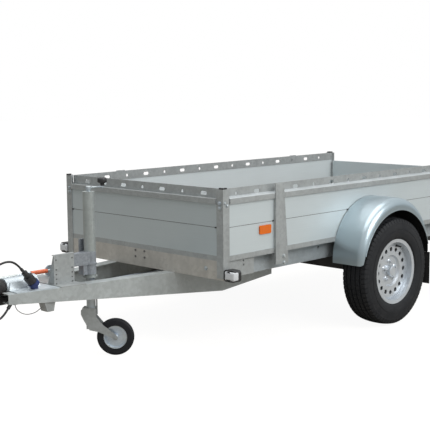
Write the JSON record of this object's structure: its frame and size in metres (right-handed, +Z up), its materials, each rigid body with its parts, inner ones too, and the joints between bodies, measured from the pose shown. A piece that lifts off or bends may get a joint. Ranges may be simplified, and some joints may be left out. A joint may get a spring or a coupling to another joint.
{
  "type": "utility trailer",
  "caption": "Braked utility trailer with an open flat load box, drop tailgate, V drawbar with overrun coupling and a jockey wheel.",
  "frame": {"origin": "on the ground under the middle of the trailer's bounding box", "axes": "+X forward to the coupling, +Y to the trailer's left side, +Z up"},
  "size_m": [4.002, 1.765, 0.951],
  "materials": {
    "zinc": "hot-dip galvanised, dull spangle",
    "panel": "anodised, fine brushed",
    "fender_zinc": "smooth zinc coat",
    "plywood": "brown film, anti-slip",
    "black_plastic": "satin moulded",
    "black_rubber": "matt",
    "tyre": "matt",
    "rim_silver": "silver wheel lacquer",
    "axle_black": "satin paint",
    "hub_steel": "machined and oiled",
    "bright_zinc": "bright zinc plate",
    "amber": "ribbed reflector",
    "clear_lens": "clear lens",
    "red_lens": "moulded lens",
    "plate": "blank",
    "lever": "zinc with red grip"
  },
  "bodies": {
    "chassis": {"frame_end_beams": "zinc", "frame_side_beams": "zinc", "frame_cross_members": "zinc", "frame_gussets": "zinc", "sills": "zinc", "floor_panel": "plywood", "front_wall": "panel", "side_wall_left": "panel", "side_wall_right": "panel", "top_rails": "zinc", "corner_posts": "zinc", "post_caps": "black_plastic", "stanchions": "zinc", "fender_left": "fender_zinc", "fender_right": "fender_zinc", "mudflaps": "black_rubber", "axle_beam": "axle_black", "axle_arms": "axle_black", "hinge_pins": "zinc", "reflectors": "amber", "front_lamps": "clear_lens", "light_bar": "zinc", "tail_lamps": "red_lens", "number_plate": "plate", "drawbar_arm_left": "zinc", "drawbar_arm_right": "zinc", "overrun_housing": "bright_zinc", "coupling_shaft": "zinc", "bellows": "black_rubber", "coupling_head": "bright_zinc", "coupling_handle": "black_plastic", "handbrake_lever": "lever", "brake_rod": "bright_zinc", "console_bracket": "zinc", "jockey_clamp": "zinc", "jockey_outer_tube": "zinc", "jockey_crank": "black_plastic", "overrun_damper": "black_rubber", "towing_plug": "black_plastic", "plug_holder": "black_plastic", "cable_gland": "black_plastic", "plug_cable": "black_rubber", "arm_bracket": "zinc", "link_cable": "black_rubber"},
    "wheel_left": {"hub_left": "hub_steel", "rim_left": "rim_silver", "tyre_left": "tyre"},
    "wheel_right": {"hub_right": "hub_steel", "rim_right": "rim_silver", "tyre_right": "tyre"},
    "tailgate": {"tailgate": "panel", "tailgate_straps": "zinc", "tailgate_latches": "bright_zinc"},
    "jockey_leg": {"jockey_inner_tube": "bright_zinc"},
    "jockey_fork": {"jockey_fork": "zinc"},
    "jockey_wheel": {"jockey_rim": "bright_zinc", "jockey_tyre": "tyre"}
  },
  "joints": [
    {"name": "wheel_left_spin", "type": "hinge", "parent": "chassis", "child": "wheel_left", "pos_m": [-0.664, 0.79, 0.322], "axis": [0, 1, 0], "continuous": true},
    {"name": "wheel_right_spin", "type": "hinge", "parent": "chassis", "child": "wheel_right", "pos_m": [-0.664, -0.79, 0.322], "axis": [0, 1, 0], "continuous": true},
    {"name": "tailgate_hinge", "type": "hinge", "parent": "chassis", "child": "tailgate", "pos_m": [-1.987, 0, 0.541], "axis": [0, -1, 0], "range_deg": [0, 180]},
    {"name": "jockey_lift", "type": "slide", "parent": "chassis", "child": "jockey_leg", "axis": [0, 0, 1], "range_m": [-0.06, 0.11]},
    {"name": "jockey_swivel", "type": "hinge", "parent": "jockey_leg", "child": "jockey_fork", "pos_m": [1.012, 0.07, 0.2], "axis": [0, 0, 1], "continuous": true},
    {"name": "jockey_spin", "type": "hinge", "parent": "jockey_fork", "child": "jockey_wheel", "pos_m": [0.92244, 0.16145, 0.1], "axis": [0.7145, 0.6997, 0], "continuous": true}
  ]
}
